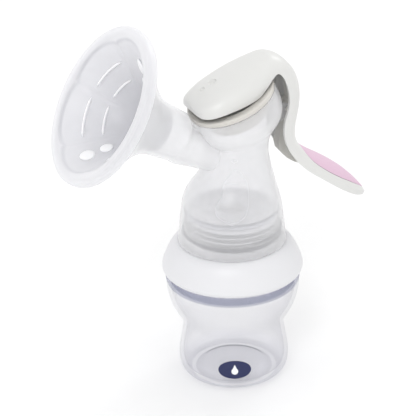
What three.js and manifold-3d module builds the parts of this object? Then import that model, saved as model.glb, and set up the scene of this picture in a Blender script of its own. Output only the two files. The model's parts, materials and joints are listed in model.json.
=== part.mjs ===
// Manual breast pump on a wide-neck bottle, built as an assembly of separate pieces.
// Units: millimetres. +Z is up. The origin is the centre of the bottle's base.
// The funnel points to -X, the squeeze handle to +X, and Y = 0 is the plane of symmetry.

import * as THREE from 'three';
import { mergeVertices } from 'three/addons/utils/BufferGeometryUtils.js';
import Module from 'manifold-3d';

const wasm = await Module();
wasm.setup();

// ---------------------------------------------------------------- driving dimensions
const SIDES = 32;              // facets round the big turned pieces
const GAP = 0.3;               // clearance left between touching pieces
const WALL = 1.7;              // wall of the milky pump moulding

const BOTTLE_NECK_R = 27.0;    // outside of the bottle neck
const BOTTLE_BORE_R = 24.6;
const BOTTLE_LIP_Z = 69.0;
const BOTTLE_PITCH = 3.5;      // bottle thread, mm per turn
const SHOULDER_Z = 57.2;       // where the collar meets the bottle shoulder

const COLLAR_R = 35.6;         // widest point of the screw collar
const COLLAR_TOP_Z = 73.5;
const SPOUT_R = 22.8;          // collar's threaded spout that enters the pump skirt
const SPOUT_BORE_R = 20.2;
const SPOUT_TOP_Z = 88.4;
const PUMP_PITCH = 2.8;        // thread between collar and pump, mm per turn

const SKIRT_Z = 73.9;          // lower edge of the pump moulding
const SKIRT_BORE_R = 24.4;
const FLOOR_Z = 90.4;          // underside of the milk-chamber floor
const FLOOR_T = 1.8;
const VALVE_SEAT_R = 6.2;      // outside of the outlet spigot

const FUNNEL_CENTRE = [-67.4, 159.3];   // x, z of the centre of the funnel's front edge
const FUNNEL_RISE = 31.8;      // degrees the funnel axis rises towards the breast
const FUNNEL_R = 40.0;

const HEAD_CENTRE = [0.5, 150.0];       // x, z of the centre of the diaphragm rim
const HEAD_TILT = 21.5;        // degrees the head leans towards the funnel
const HEAD_R = 22.6;           // outside of the diaphragm's clip-on rim
const BOWL_LIP_R = 21.3;       // upright lip of the bowl that the rim clips over

const PIVOT = [29.4, 140.4];   // x, z of the handle's hinge pin
const HANDLE_WALL = 1.8;
const LINK_HEIGHT = 5.0;       // stem pin above the diaphragm rim, along the head axis

// ---------------------------------------------------------------- colours
const CLEAR = { color: 0xd9d6ea, roughness: 0.08, metalness: 0 };
const MILKY = { color: 0xe2e1e8, roughness: 0.3, metalness: 0 };
const WHITE = { color: 0xe9e9e7, roughness: 0.35, metalness: 0 };
const WARM = { color: 0xd6d3c6, roughness: 0.45, metalness: 0 };
const SILICONE = { color: 0xe4e4ea, roughness: 0.4, metalness: 0 };
const PINK = { color: 0xebc8de, roughness: 0.55, metalness: 0 };
const NAVY = { color: 0x1c2450, roughness: 0.4, metalness: 0 };

// ---------------------------------------------------------------- solids
const rad = (deg) => deg * Math.PI / 180;

function toManifold(geometry) {
  const bare = new THREE.BufferGeometry();
  bare.setAttribute('position', geometry.getAttribute('position').clone());
  if (geometry.index) bare.setIndex(geometry.index.clone());
  const merged = mergeVertices(bare, 1e-4);
  const mesh = new wasm.Mesh({
    numProp: 3,
    vertProperties: new Float32Array(merged.getAttribute('position').array),
    triVerts: new Uint32Array(merged.index.array),
  });
  return new wasm.Manifold(mesh);
}

function toGeometry(solid) {
  const mesh = solid.getMesh();
  const geometry = new THREE.BufferGeometry();
  geometry.setAttribute('position', new THREE.BufferAttribute(mesh.vertProperties, 3));
  geometry.setIndex(new THREE.BufferAttribute(mesh.triVerts, 1));
  return geometry;
}

const add = (...parts) => parts.reduce((sum, part) => sum.add(part));
const cut = (solid, ...tools) => tools.reduce((rest, tool) => rest.subtract(tool), solid);

// A frame is an origin, the direction "across" and the direction "along", all in the XZ plane.
function frame(x, z, across, along) {
  const u = new THREE.Vector3(across[0], 0, across[1]);
  const w = new THREE.Vector3(along[0], 0, along[1]);
  const at = (uu, yy, ww) => new THREE.Vector3(x, yy, z)
    .addScaledVector(u, uu)
    .addScaledVector(w, ww);
  return { at };
}

const UPRIGHT = frame(0, 0, [1, 0], [0, 1]);
const tilt = rad(HEAD_TILT);
const HEAD = frame(HEAD_CENTRE[0], HEAD_CENTRE[1],
  [Math.cos(tilt), Math.sin(tilt)], [-Math.sin(tilt), Math.cos(tilt)]);
const rise = rad(FUNNEL_RISE);
// Along the funnel frame, w runs from the front edge into the pump.
const FUNNEL = frame(FUNNEL_CENTRE[0], FUNNEL_CENTRE[1],
  [-Math.sin(rise), -Math.cos(rise)], [Math.cos(rise), -Math.sin(rise)]);

// Rings of equal length are skinned in order; the first and last ring are capped.
function skin(rings, closed = false) {
  const count = rings[0].length;
  const position = [];
  const index = [];
  rings.forEach((ring) => ring.forEach((p) => position.push(p.x, p.y, p.z)));
  const last = closed ? rings.length : rings.length - 1;
  for (let i = 0; i < last; i += 1) {
    const a = i * count;
    const b = ((i + 1) % rings.length) * count;
    for (let j = 0; j < count; j += 1) {
      const k = (j + 1) % count;
      index.push(a + j, a + k, b + k, a + j, b + k, b + j);
    }
  }
  if (!closed) {
    for (const [start, flip] of [[0, true], [(rings.length - 1) * count, false]]) {
      const centre = new THREE.Vector3();
      for (let j = 0; j < count; j += 1) {
        centre.add(new THREE.Vector3().fromArray(position, (start + j) * 3));
      }
      centre.divideScalar(count);
      const hub = position.length / 3;
      position.push(centre.x, centre.y, centre.z);
      for (let j = 0; j < count; j += 1) {
        const k = (j + 1) % count;
        if (flip) index.push(hub, start + k, start + j);
        else index.push(hub, start + j, start + k);
      }
    }
  }
  const geometry = new THREE.BufferGeometry();
  geometry.setAttribute('position', new THREE.Float32BufferAttribute(position, 3));
  geometry.setIndex(index);
  return faceOut(geometry);
}

// Turns the faces over when the skin came out facing inwards.
function faceOut(geometry) {
  const p = geometry.getAttribute('position');
  const index = geometry.index.array;
  const a = new THREE.Vector3();
  const b = new THREE.Vector3();
  const c = new THREE.Vector3();
  let volume = 0;
  for (let i = 0; i < index.length; i += 3) {
    a.fromBufferAttribute(p, index[i]);
    b.fromBufferAttribute(p, index[i + 1]);
    c.fromBufferAttribute(p, index[i + 2]);
    volume += a.dot(b.cross(c));
  }
  if (volume < 0) {
    for (let i = 0; i < index.length; i += 3) {
      [index[i], index[i + 1]] = [index[i + 1], index[i]];
    }
  }
  return geometry;
}

function circle(place, r, w, sides = SIDES) {
  const ring = [];
  for (let i = 0; i < sides; i += 1) {
    const angle = 2 * Math.PI * i / sides;
    ring.push(place.at(r * Math.cos(angle), r * Math.sin(angle), w));
  }
  return ring;
}

// A ring-shaped solid: the profile of [r, w] points closes on itself and never reaches the axis.
function turnedRing(profile, place = UPRIGHT, sides = SIDES) {
  return toManifold(skin(profile.map(([r, w]) => circle(place, r, w, sides)), true));
}

// A solid of revolution from a profile of [r, w] points, capped at both ends.
function turned(profile, place = UPRIGHT, sides = SIDES) {
  return toManifold(skin(profile.map(([r, w]) => circle(place, r, w, sides))));
}

// A block or plate given by its corners in a frame and its width along Y.
function plate(place, outline, y0, y1) {
  const flatOutline = outline.map(([u, w]) => new THREE.Vector2(u, w));
  const corners = THREE.ShapeUtils.isClockWise(flatOutline) ? [...outline].reverse() : outline;
  const at = (y) => corners.map(([u, w]) => place.at(u, y, w));
  const flat = THREE.ShapeUtils.triangulateShape(corners.map(([u, w]) => new THREE.Vector2(u, w)), []);
  const rings = [at(y0), at(y1)];
  const n = corners.length;
  const position = [];
  const index = [];
  rings.forEach((ring) => ring.forEach((p) => position.push(p.x, p.y, p.z)));
  flat.forEach(([a, b, c]) => index.push(a, c, b, n + a, n + b, n + c));
  for (let j = 0; j < n; j += 1) {
    const k = (j + 1) % n;
    index.push(j, k, n + k, j, n + k, n + j);
  }
  const geometry = new THREE.BufferGeometry();
  geometry.setAttribute('position', new THREE.Float32BufferAttribute(position, 3));
  geometry.setIndex(index);
  return toManifold(faceOut(geometry));
}

function disc(u, w, r, sides = 24) {
  const corners = [];
  for (let i = 0; i < sides; i += 1) {
    const angle = 2 * Math.PI * i / sides;
    corners.push([u + r * Math.cos(angle), w + r * Math.sin(angle)]);
  }
  return corners;
}

function slot(u0, u1, w, r, sides = 10) {
  const corners = [];
  for (let i = 0; i <= sides; i += 1) {
    const angle = -Math.PI / 2 + Math.PI * i / sides;
    corners.push([u1 + r * Math.cos(angle), w + r * Math.sin(angle)]);
  }
  for (let i = 0; i <= sides; i += 1) {
    const angle = Math.PI / 2 + Math.PI * i / sides;
    corners.push([u0 + r * Math.cos(angle), w + r * Math.sin(angle)]);
  }
  return corners;
}

// A helical thread ridge. depth is positive for an outside thread, negative for an inside one.
function thread(rootR, depth, pitch, turns, z0, width) {
  const steps = Math.round(turns * 24);
  const bury = depth > 0 ? -0.8 : 0.8;
  const rings = [];
  for (let i = 0; i <= steps; i += 1) {
    const part = i / steps;
    const angle = 2 * Math.PI * turns * part;
    const fade = Math.min(1, 0.25 + 6 * part, 0.25 + 6 * (1 - part));
    const z = z0 + pitch * turns * part;
    const section = [
      [rootR + bury, -width / 2], [rootR + bury, width / 2],
      [rootR + depth * fade, width * 0.22], [rootR + depth * fade, -width * 0.22],
    ];
    rings.push(section.map(([r, dz]) => new THREE.Vector3(
      r * Math.cos(angle), r * Math.sin(angle), z + dz)));
  }
  return toManifold(skin(rings));
}

// ---------------------------------------------------------------- assembly
const group = new THREE.Group();
group.name = 'manual_breast_pump';

function piece(name, solid, look) {
  const mesh = new THREE.Mesh(toGeometry(solid), new THREE.MeshStandardMaterial(look));
  mesh.name = name;
  group.add(mesh);
}

// ---------------------------------------------------------------- bottle
const bottleOutside = [
  [19.5, 0.0], [23.2, 0.0], [25.6, 1.0], [27.2, 3.4], [28.0, 8.6], [27.6, 13.0],
  [26.4, 20.5], [25.7, 25.6], [26.0, 29.2], [28.4, 33.8], [31.4, 39.5], [33.0, 45.0],
  [33.6, 50.6], [33.3, 51.4], [33.9, 53.0], [33.9, 55.6], [32.6, 56.9],
  [29.4, 57.0], [BOTTLE_NECK_R, 58.0], [BOTTLE_NECK_R, 68.4], [BOTTLE_NECK_R - 0.6, BOTTLE_LIP_Z],
];
const bottleInside = [
  [9.0, 5.6], [16.6, 4.8], [19.4, 3.2], [22.8, 2.8], [25.2, 4.6], [26.1, 8.8], [25.7, 13.0],
  [24.5, 20.5], [23.8, 25.6], [24.2, 29.6], [26.6, 34.4], [29.6, 40.0], [31.2, 45.4],
  [31.7, 50.6], [31.0, 54.0], [28.0, 55.4], [BOTTLE_BORE_R, 57.6], [BOTTLE_BORE_R, 75.0],
];
const bottlePushUp = [[17.6, -1.0], [17.6, 0.4], [16.2, 2.4], [9.0, 3.6]];
piece('bottle', add(
  cut(turned(bottleOutside), turned(bottleInside), turned(bottlePushUp)),
  thread(BOTTLE_NECK_R, 1.1, BOTTLE_PITCH, 1.5, 60.2, 1.7),
), CLEAR);

// The printed mark on the front of the bottle: a plain oval film, slightly proud of the wall.
const BADGE_Z = 12.6;
const BADGE_HALF = [8.4, 4.8];
const badgeTurn = rad(-114);   // the side of the bottle that carries the mark
function badgeRing(lift, scale) {
  const ring = [];
  for (let i = 0; i < 36; i += 1) {
    const a = 2 * Math.PI * i / 36;
    const across = scale * BADGE_HALF[0] * Math.cos(a);
    const z = BADGE_Z + scale * BADGE_HALF[1] * Math.sin(a);
    const wallR = 28.0 - 0.16 * Math.max(0, z - 9.5) - 0.05 * Math.max(0, 9.5 - z);
    const angle = badgeTurn + across / 28;
    ring.push(new THREE.Vector3(
      (wallR + lift) * Math.cos(angle), (wallR + lift) * Math.sin(angle), z));
  }
  return ring;
}
function badgeSkin(lift) {
  return [badgeRing(lift, 0.35), badgeRing(lift, 0.7), badgeRing(lift, 1)];
}
piece('bottle_badge', toManifold(skin([...badgeSkin(0.3), ...badgeSkin(0.55).reverse()])), NAVY);

piece('bottle_seal', turnedRing([
  [BOTTLE_BORE_R, BOTTLE_LIP_Z + GAP], [BOTTLE_NECK_R + 0.9, BOTTLE_LIP_Z + GAP],
  [BOTTLE_NECK_R + 0.9, 70.5], [BOTTLE_BORE_R, 70.5],
]), SILICONE);

// ---------------------------------------------------------------- screw collar
const collarBody = turnedRing([
  [33.2, SHOULDER_Z + 0.1], [34.6, SHOULDER_Z + 0.3], [35.4, 58.3], [COLLAR_R, 59.6],
  [35.1, 61.8], [34.1, 64.4], [33.0, 67.0], [31.5, 69.7], [29.8, 71.8], [28.2, 73.0],
  [26.6, COLLAR_TOP_Z], [SPOUT_R + 0.4, COLLAR_TOP_Z], [SPOUT_R, 74.1],
  [SPOUT_R, SPOUT_TOP_Z - 0.6], [SPOUT_R - 0.6, SPOUT_TOP_Z], [SPOUT_BORE_R + 0.3, SPOUT_TOP_Z],
  [SPOUT_BORE_R, SPOUT_TOP_Z - 0.5], [SPOUT_BORE_R, 71.2], [SPOUT_BORE_R + 0.4, 70.8],
  [28.5, 70.8], [28.5, 60.8], [31.4, 58.4], [32.2, SHOULDER_Z + 0.2],
]);
piece('screw_collar', add(
  collarBody,
  thread(28.5, -1.05, BOTTLE_PITCH, 1.5, 61.95, 1.6),
  thread(SPOUT_R, 1.15, PUMP_PITCH, 3.75, 76.2, 1.5),
), WHITE);

piece('collar_gasket', turnedRing([
  [SPOUT_BORE_R, SPOUT_TOP_Z + GAP], [SPOUT_R, SPOUT_TOP_Z + GAP],
  [SPOUT_R, FLOOR_Z - GAP], [SPOUT_BORE_R, FLOOR_Z - GAP],
]), SILICONE);

// ---------------------------------------------------------------- pump body
// Each station is x, z, lean in degrees and outside radius, from the skirt up to the bowl rim.
const bodyStations = [
  [0, SKIRT_Z, 0, 27.2], [0, 84.0, 0, 26.2], [0, 93.2, 0, 25.1],
  [0, 97.0, 0, 24.3], [0.3, 100.4, 0, 23.1], [1.0, 103.8, 0, 21.5],
  [2.1, 107.6, 0, 19.5], [2.8, 112.6, 0, 17.7], [2.8, 117.0, 0, 16.8], [2.7, 121.5, 1, 16.3],
  [3.3, 126.0, 6, 16.2], [4.6, 130.0, 13, 17.3],
];
const bowlStations = [[-17.5, 19.6], [-14.4, 21.5], [-11.0, 22.6], [-7.5, 22.8], [-4.0, 22.6],
  [-1.4, 22.3], [-1.2, BOWL_LIP_R], [0.6, BOWL_LIP_R]];

function bodyRings(inset, skipBelow) {
  const rings = [];
  for (const [x, z, lean, r] of bodyStations) {
    if (z < skipBelow) continue;
    const a = rad(lean);
    const place = frame(x, z, [Math.cos(a), Math.sin(a)], [-Math.sin(a), Math.cos(a)]);
    rings.push(circle(place, r - inset, 0));
  }
  bowlStations.forEach(([w, r]) => rings.push(circle(HEAD, r - inset, w)));
  return rings;
}

const bodyOutside = toManifold(skin(bodyRings(0, 0)));
const chamberRings = bodyRings(WALL, FLOOR_Z + FLOOR_T);
chamberRings.unshift(circle(UPRIGHT, 25.2 - WALL, FLOOR_Z + FLOOR_T));
chamberRings.push(circle(HEAD, BOWL_LIP_R - WALL, 2.0));
const chamber = toManifold(skin(chamberRings));
const skirtBore = turned([[SKIRT_BORE_R + 0.5, SKIRT_Z - 1], [SKIRT_BORE_R + 0.4, SKIRT_Z + 0.4],
  [SKIRT_BORE_R, SKIRT_Z + 0.9], [SKIRT_BORE_R - 0.5, FLOOR_Z]]);

// Funnel and breast tunnel, one moulding with the body.
const funnelOutside = turned([
  [38.0, 0.0], [38.5, 0.5], [38.5, 3.4], [36.6, 5.4], [31.6, 9.4],
  [26.4, 13.8], [21.0, 19.0], [16.6, 24.6], [14.0, 30.4], [12.9, 40.0],
], FUNNEL);
const funnelInside = turned([
  [37.0, -1.0], [37.0, 2.4], [34.9, 4.4], [30.0, 8.4],
  [24.8, 12.8], [19.4, 18.2], [15.1, 24.0], [12.5, 30.2], [11.4, 40.2],
], FUNNEL);
// Beyond the tunnel the passage narrows and drops so that it enters the bowl under the rim.
// Each station is the distance along the funnel axis, the drop below it and the outside radius.
const neckStations = [[40.0, 0, 12.9], [43.5, 0, 12.6], [45.5, 0.2, 12.1], [49.0, 2.3, 10.6],
  [53.0, 2.2, 10.2], [60.0, 1.6, 9.6], [77.0, 0, 9.0]];
function neckPassage(inset, from) {
  return toManifold(skin(neckStations.map(([w, drop, r], i) => {
    const centre = FUNNEL.at(drop, 0, i === 0 ? from : w);
    const place = frame(centre.x, centre.z,
      [-Math.sin(rise), -Math.cos(rise)], [Math.cos(rise), -Math.sin(rise)]);
    return circle(place, r - inset, 0);
  })));
}
const neckOutside = neckPassage(0, 39.0);
const neckInside = neckPassage(WALL, 40.0);

// Rear lugs that carry the handle's hinge pin.
const LUG_Y = [3.5, 5.3];
const LUG_R = 2.8;
const PIN_R = 1.5;
const lugShape = [
  [PIVOT[0] - 12.5, PIVOT[1] - 7.0], [PIVOT[0] - 3.5, PIVOT[1] - 5.6],
  [PIVOT[0] - 0.5, PIVOT[1] - LUG_R], [PIVOT[0] + 1.8, PIVOT[1] - 2.1],
  [PIVOT[0] + LUG_R, PIVOT[1]], [PIVOT[0] + 1.8, PIVOT[1] + 2.1],
  [PIVOT[0] - 0.5, PIVOT[1] + LUG_R], [PIVOT[0] - 12.5, PIVOT[1] + 6.0],
];
const lugs = [1, -1].map((side) => plate(UPRIGHT, lugShape,
  Math.min(side * LUG_Y[0], side * LUG_Y[1]), Math.max(side * LUG_Y[0], side * LUG_Y[1])));
const pinBore = plate(UPRIGHT, disc(PIVOT[0], PIVOT[1], PIN_R + GAP), -20, 20);

// Floor of the milk chamber with the outlet spigot that holds the valve.
const chamberFloor = turned([[SKIRT_BORE_R + 0.6, FLOOR_Z], [SKIRT_BORE_R + 0.6, FLOOR_Z + FLOOR_T],
  [SKIRT_BORE_R + 0.5, FLOOR_Z + FLOOR_T]]);
const spigot = turned([[VALVE_SEAT_R - 0.3, 80.6], [VALVE_SEAT_R, 81.0], [VALVE_SEAT_R, FLOOR_Z + 0.5]],
  UPRIGHT, 32);
const spigotBore = turned([[4.6, 79], [4.6, 92.6], [6.5, 94]], UPRIGHT, 32);

const pumpBody = add(
  cut(add(bodyOutside, funnelOutside, neckOutside, ...lugs.map((lug) => cut(lug, pinBore))),
    chamber, skirtBore, funnelInside, neckInside),
  cut(add(chamberFloor, spigot), spigotBore),
  thread(SKIRT_BORE_R - 0.05, -1.05, PUMP_PITCH, 1.25, 76.2 + PUMP_PITCH / 2, 1.4),
);
piece('pump_body', pumpBody, MILKY);

// ---------------------------------------------------------------- duckbill valve
const VALVE_SIDES = 28;
function valveRing(r, squeeze, z) {
  const ring = [];
  for (let i = 0; i < VALVE_SIDES; i += 1) {
    const a = 2 * Math.PI * i / VALVE_SIDES;
    ring.push(new THREE.Vector3(r * Math.cos(a) * squeeze, r * Math.sin(a), z));
  }
  return ring;
}
const valveOutside = toManifold(skin([
  valveRing(8.2, 1, 89.6), valveRing(8.9, 1, 89.2), valveRing(8.9, 1, 88.0),
  valveRing(7.9, 1, 87.4), valveRing(7.9, 1, 80.0), valveRing(7.7, 0.8, 76.0),
  valveRing(7.6, 0.45, 71.0), valveRing(7.6, 0.2, 67.4),
]));
const valveBore = toManifold(skin([
  valveRing(VALVE_SEAT_R + GAP, 1, 90.5), valveRing(VALVE_SEAT_R + GAP, 1, 80.2),
  valveRing(6.4, 0.76, 76.0), valveRing(6.4, 0.34, 71.0), valveRing(6.4, 0.06, 67.0),
]));
piece('duckbill_valve', cut(valveOutside, valveBore), SILICONE);

// ---------------------------------------------------------------- massage cushion
const cushionProfile = [
  [39.2, -1.5], [40.2, -0.6], [FUNNEL_R + 0.4, 1.2], [39.9, 3.4], [39.0, 4.0], [38.8, 3.2],
  [38.8, 0.4], [38.2, -0.3], [36.7, -0.3], [36.7, 2.2], [34.5, 4.2], [29.6, 8.2],
  [24.4, 12.5], [19.0, 17.9], [14.7, 23.8], [12.1, 30.1], [11.5, 34.0],
  [10.2, 34.2], [10.5, 29.6], [12.9, 22.8], [17.0, 16.4], [22.4, 10.4],
  [26.8, 6.4], [29.8, 3.4], [31.8, 1.2], [34.0, -0.6], [36.6, -1.6],
];
piece('massage_cushion', turnedRing(cushionProfile, FUNNEL), SILICONE);

// ---------------------------------------------------------------- diaphragm and stem
piece('diaphragm', turnedRing([
  [2.4, -7.8], [8.9, -7.8], [10.0, -9.3], [11.4, -12.0], [13.2, -13.0], [15.1, -11.8],
  [15.8, -9.4], [15.8, -2.0], [16.6, -1.0], [18.6, -0.4], [19.2, 0.3], [19.6, 0.9],
  [BOWL_LIP_R, 0.9], [BOWL_LIP_R + GAP, 0.6], [BOWL_LIP_R + GAP, -0.9], [22.4, -0.9],
  [HEAD_R, 0.9], [21.9, 1.4], [20.2, 1.1], [18.2, 0.5], [16.0, 0.2], [14.9, -0.6],
  [14.6, -2.0], [14.6, -9.4], [14.0, -10.8], [13.1, -11.4], [12.3, -10.8], [11.2, -8.4],
  [9.4, -6.5], [2.4, -6.5],
], HEAD), SILICONE);

const stemTurned = turned([
  [3.2, -9.8], [4.2, -9.4], [4.2, -8.1], [2.0, -8.0], [2.0, -6.3], [8.0, -6.2],
  [8.4, -5.6], [8.0, -4.8], [4.0, -4.6], [3.2, -4.0], [3.0, 0.0],
], HEAD, 36);
const ARM_Y = [3.4, 5.4];
const armShape = [[-3.1, -1.2], [3.1, -1.2], [3.1, LINK_HEIGHT], [2.3, LINK_HEIGHT + 2.2],
  [0, LINK_HEIGHT + 3.1], [-2.3, LINK_HEIGHT + 2.2], [-3.1, LINK_HEIGHT]];
const arms = [1, -1].map((side) => plate(HEAD, armShape,
  Math.min(side * ARM_Y[0], side * ARM_Y[1]), Math.max(side * ARM_Y[0], side * ARM_Y[1])));
const yoke = plate(HEAD, [[-3.1, -1.9], [3.1, -1.9], [3.1, -0.2], [-3.1, -0.2]], -ARM_Y[1], ARM_Y[1]);
const linkBore = plate(HEAD, disc(0, LINK_HEIGHT, 1.3 + GAP), -20, 20);
piece('diaphragm_stem', cut(add(stemTurned, yoke, ...arms), linkBore), WHITE);
piece('stem_pin', plate(HEAD, disc(0, LINK_HEIGHT, 1.3), -6.1, 6.1), WARM);
piece('hinge_pin', plate(UPRIGHT, disc(PIVOT[0], PIVOT[1], PIN_R), -6.4, 6.4), WARM);

// ---------------------------------------------------------------- handle
// Stations run from the nose over the dome, down the neck and along the paddle:
// crest x, crest z, edge x, edge z, half width.
const handleStations = [
  [-22.1, 149.9, -21.9, 148.9, 1.6], [-22.4, 151.3, -21.7, 148.2, 5.2],
  [-21.8, 152.6, -21.0, 147.6, 8.4], [-20.0, 154.1, -19.8, 147.2, 11.2],
  [-16.6, 156.3, -17.0, 147.3, 13.6], [-11.4, 159.2, -12.6, 148.4, 15.6],
  [-5.7, 161.9, -7.2, 149.8, 16.5], [0.2, 164.5, -1.4, 151.3, 16.9],
  [6.0, 166.8, 4.2, 152.9, 16.6], [11.3, 168.7, 9.0, 154.5, 15.6],
  [15.3, 170.0, 12.2, 156.3, 14.2], [19.0, 170.8, 15.5, 158.9, 12.8],
  [22.5, 170.1, 18.3, 161.3, 11.6], [26.3, 168.1, 20.9, 162.7, 10.9],
  [30.0, 164.7, 23.4, 161.0, 10.5], [33.3, 160.2, 25.6, 157.0, 10.3],
  [35.5, 154.4, 27.1, 151.8, 10.2], [36.3, 148.2, 27.6, 146.8, 10.2],
  [36.0, 141.8, 26.8, 141.3, 10.2], [34.8, 135.6, 25.1, 136.3, 10.4],
  [33.6, 129.6, 24.4, 130.4, 10.8], [33.7, 124.6, 25.5, 124.2, 11.0],
  [35.6, 120.0, 28.4, 118.0, 11.1], [38.9, 116.4, 32.5, 112.2, 11.3],
  [43.4, 113.0, 37.6, 107.0, 11.5], [49.6, 109.0, 44.0, 102.0, 11.6],
  [56.0, 104.4, 50.2, 97.3, 11.3], [62.2, 99.2, 56.2, 92.8, 10.6],
  [67.4, 93.9, 61.8, 88.9, 9.2], [71.0, 89.6, 66.2, 86.2, 7.4],
  [73.4, 86.4, 69.7, 84.4, 5.2], [74.6, 84.3, 72.4, 83.0, 2.8],
];
const LAST = handleStations.length - 1;
const crestCurve = new THREE.CatmullRomCurve3(
  handleStations.map(([x, z]) => new THREE.Vector3(x, 0, z)), false, 'centripetal');
const edgeCurve = new THREE.CatmullRomCurve3(
  handleStations.map(([, , x, z, b]) => new THREE.Vector3(x, b, z)), false, 'centripetal');

const ROUND = 0.86;            // 1 is an ellipse, smaller is boxier
function rounded(v) {
  return Math.sign(v) * Math.abs(v) ** ROUND;
}

// A point of the handle's skin: s counts stations, angle runs from one edge to the other,
// inset moves the point into the wall.
function handlePoint(s, angle, inset) {
  const crest = crestCurve.getPoint(s / LAST);
  const edge = edgeCurve.getPoint(s / LAST);
  const b = edge.y - inset;
  const up = new THREE.Vector3(crest.x - edge.x, 0, crest.z - edge.z);
  const height = up.length() - inset;
  up.normalize();
  return new THREE.Vector3(edge.x, 0, edge.z)
    .addScaledVector(up, height * rounded(Math.cos(angle)))
    .setY(b * rounded(Math.sin(angle)));
}

const ARC = 12;
function handleSection(s, inset, below) {
  const ring = [];
  for (let j = 0; j <= ARC; j += 1) {
    ring.push(handlePoint(s, Math.PI * (j / ARC - 0.5), inset));
  }
  if (below > 0) {
    const crest = crestCurve.getPoint(s / LAST);
    const edge = edgeCurve.getPoint(s / LAST);
    const down = new THREE.Vector3(edge.x - crest.x, 0, edge.z - crest.z).setLength(below);
    ring.push(ring[ARC].clone().add(down), ring[0].clone().add(down));
  }
  return ring;
}

function handleSolid(from, to, steps, inset, below) {
  const rings = [];
  for (let i = 0; i <= steps; i += 1) {
    rings.push(handleSection(from + (to - from) * i / steps, inset, below));
  }
  return toManifold(skin(rings));
}

// A leaf-shaped layer of the paddle's back, between two depths in the wall.
const GRIP_FROM = 22.3;
const GRIP_TO = 30.2;
const GRIP_HALF_ANGLE = rad(58);
function gripLayer(grow, outer, inner) {
  const rings = [];
  const steps = 16;
  const across = 8;
  for (let i = 0; i <= steps; i += 1) {
    const part = i / steps;
    const s = GRIP_FROM - grow * 0.12 + (GRIP_TO - GRIP_FROM + grow * 0.24) * part;
    const leaf = Math.sin(Math.PI * part ** 0.8) ** 0.75;
    const half = 0.05 + grow * 0.03 + GRIP_HALF_ANGLE * leaf;
    const ring = [];
    for (let j = 0; j <= across; j += 1) {
      ring.push(handlePoint(s, half * (2 * j / across - 1), -outer));
    }
    for (let j = across; j >= 0; j -= 1) {
      ring.push(handlePoint(s, half * (2 * j / across - 1), inner));
    }
    rings.push(ring);
  }
  return toManifold(skin(rings));
}

piece('handle_shell', cut(
  handleSolid(0, LAST, 44, 0, 0),
  handleSolid(1.4, LAST - 1.4, 36, HANDLE_WALL, 4),
  gripLayer(1, 3, 1.0),
), WHITE);
piece('grip_insert', gripLayer(0, 0.15, 0.7), PINK);

// The inner frame is one plate: it carries the fork slot in the dome and the hinge eye in the neck.
const FRAME_Y = 3.0;
function framePoint(s, inset) {
  const crest = crestCurve.getPoint(s / LAST);
  const edge = edgeCurve.getPoint(s / LAST);
  const down = new THREE.Vector3(edge.x - crest.x, 0, edge.z - crest.z).setLength(inset);
  crest.add(down);
  return [crest.x, crest.z];
}
function headPoint(u, w) {
  const p = HEAD.at(u, 0, w);
  return [p.x, p.z];
}
const frameOutline = [];
for (let s = 4.9; s <= 24.3; s += 0.5) {
  frameOutline.push(framePoint(s, HANDLE_WALL + 0.9));
}
// The fin under the neck; its inner corner is what meets the body at the end of a squeeze.
frameOutline.push([38.2, 107.6], [33.8, 109.6], [29.8, 112.5], [25.5, 117.8], [24.7, 121.5], [26.4, 127.5]);
for (let s = 19.4; s >= 13.4; s -= 0.5) {
  frameOutline.push(framePoint(s, HANDLE_WALL + 3.6));
}
frameOutline.push(headPoint(21.0, 7.6), headPoint(15.0, 3.4), headPoint(11.0, 1.3), headPoint(-11.6, 1.3));
const eyeArm = [
  [PIVOT[0], PIVOT[1] - 3.0], [PIVOT[0] + 2.6, PIVOT[1] - 4.2],
  [PIVOT[0] + 3.0, PIVOT[1] + 4.8], [PIVOT[0], PIVOT[1] + 3.0],
];
piece('handle_frame', cut(
  add(plate(UPRIGHT, frameOutline, -FRAME_Y, FRAME_Y),
    plate(UPRIGHT, eyeArm, -FRAME_Y, FRAME_Y),
    plate(UPRIGHT, disc(PIVOT[0], PIVOT[1], 3.0), -FRAME_Y, FRAME_Y)),
  plate(UPRIGHT, disc(PIVOT[0], PIVOT[1], PIN_R + GAP), -20, 20),
  plate(HEAD, slot(-7.8, 0.6, LINK_HEIGHT, 1.75), -20, 20),
), WARM);

export default group;
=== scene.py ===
import json
import math
import bmesh
import bpy
from mathutils import Matrix, Vector

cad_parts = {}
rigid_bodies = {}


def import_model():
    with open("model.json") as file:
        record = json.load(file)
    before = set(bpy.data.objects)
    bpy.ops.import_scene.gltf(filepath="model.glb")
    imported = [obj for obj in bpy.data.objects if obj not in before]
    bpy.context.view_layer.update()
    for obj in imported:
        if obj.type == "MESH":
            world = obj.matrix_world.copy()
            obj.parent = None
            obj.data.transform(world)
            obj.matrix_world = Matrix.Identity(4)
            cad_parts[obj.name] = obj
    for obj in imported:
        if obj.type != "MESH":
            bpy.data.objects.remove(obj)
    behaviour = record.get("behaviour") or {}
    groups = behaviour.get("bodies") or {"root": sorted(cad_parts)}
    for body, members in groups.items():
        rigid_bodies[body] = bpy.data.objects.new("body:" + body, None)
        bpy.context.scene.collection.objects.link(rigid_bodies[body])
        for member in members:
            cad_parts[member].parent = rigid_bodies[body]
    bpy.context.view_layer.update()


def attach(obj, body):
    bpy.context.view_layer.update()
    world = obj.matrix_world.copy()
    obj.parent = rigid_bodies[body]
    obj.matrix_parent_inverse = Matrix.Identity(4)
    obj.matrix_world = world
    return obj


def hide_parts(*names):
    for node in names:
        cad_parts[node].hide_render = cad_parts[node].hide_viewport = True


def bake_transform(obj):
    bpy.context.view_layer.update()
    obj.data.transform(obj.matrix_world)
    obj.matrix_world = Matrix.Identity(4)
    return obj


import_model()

MM = 0.001
FINE = 128            # facets round a big turned piece

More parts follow.
